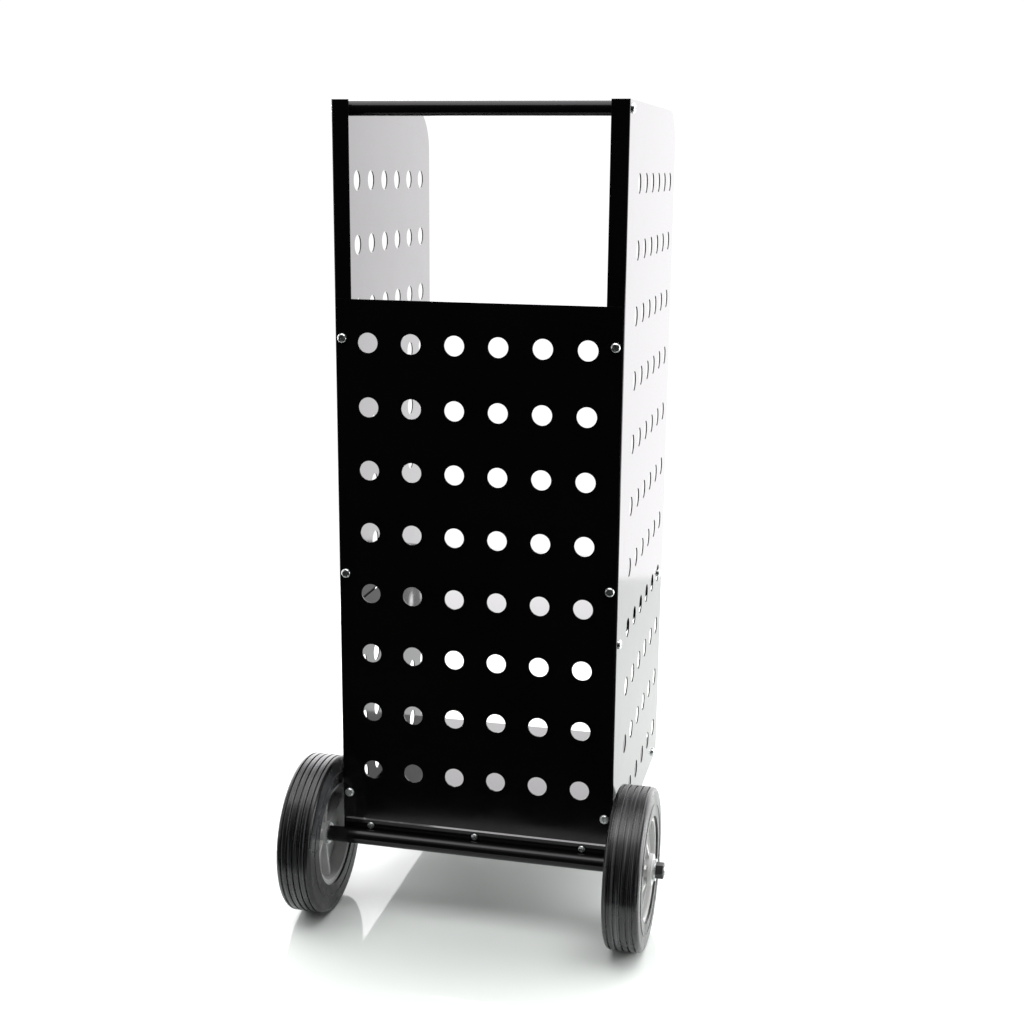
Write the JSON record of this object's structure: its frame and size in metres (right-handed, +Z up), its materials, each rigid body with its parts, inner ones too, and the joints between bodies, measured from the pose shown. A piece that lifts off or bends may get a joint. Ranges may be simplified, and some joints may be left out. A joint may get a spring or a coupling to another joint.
{
  "type": "luggage cart",
  "caption": "Upright luggage cart: perforated sheet-steel body with shelves, a bar handle, wheels at the rear and feet at the front.",
  "frame": {"origin": "on the floor, under the middle of the cart's bounding box", "axes": "+Z up; +Y from the perforated rear panel towards the open front; +X to the right for a person at the handle who looks along +Y; the wheels turn about X"},
  "size_m": [0.5026, 0.5196, 1.0445],
  "materials": {
    "black_panel": "gloss black powder coat on steel sheet",
    "black_tube": "gloss black powder coat on steel tube",
    "zinc": "bright zinc plating",
    "black_fastener": "black oxide steel",
    "steel": "bare steel",
    "tyre_rubber": "solid black rubber, satin",
    "hub_grey": "light grey moulded plastic",
    "bush_plastic": "natural nylon",
    "pad_rubber": "black rubber"
  },
  "bodies": {
    "cart": {"left_side_panel": "black_panel", "right_side_panel": "black_panel", "rear_panel": "black_panel", "mid_shelf": "black_panel", "bottom_shelf": "black_panel", "handle_tube": "black_tube", "handle_plugs": "steel", "handle_bolts": "zinc", "rear_panel_screws": "zinc", "rear_panel_nuts": "zinc", "mid_shelf_bolts": "zinc", "mid_shelf_nuts": "zinc", "bottom_shelf_bolts": "zinc", "bottom_shelf_nuts": "zinc", "axle_bracket_bolts": "zinc", "axle_bracket_nuts": "zinc", "axle_beam": "black_tube", "axle_rod": "steel", "axle_sleeves": "steel", "inner_washers": "zinc", "outer_washers": "zinc", "axle_nuts": "black_fastener", "left_foot_bracket": "black_panel", "right_foot_bracket": "black_panel", "left_leg": "black_panel", "right_leg": "black_panel", "foot_bracket_screws": "zinc", "foot_bracket_nuts": "zinc", "leg_bolts": "zinc", "leg_nuts": "zinc", "left_foot_pad": "pad_rubber", "right_foot_pad": "pad_rubber"},
    "left_wheel": {"left_tyre": "tyre_rubber", "left_hub": "hub_grey", "left_bushes": "bush_plastic"},
    "right_wheel": {"right_tyre": "tyre_rubber", "right_hub": "hub_grey", "right_bushes": "bush_plastic"}
  },
  "joints": [
    {"name": "left_wheel_spin", "type": "hinge", "parent": "cart", "child": "left_wheel", "pos_m": [-0.2205, -0.15675, 0.103], "axis": [1, 0, 0], "continuous": true},
    {"name": "right_wheel_spin", "type": "hinge", "parent": "cart", "child": "right_wheel", "pos_m": [0.2205, -0.15675, 0.103], "axis": [1, 0, 0], "continuous": true}
  ]
}
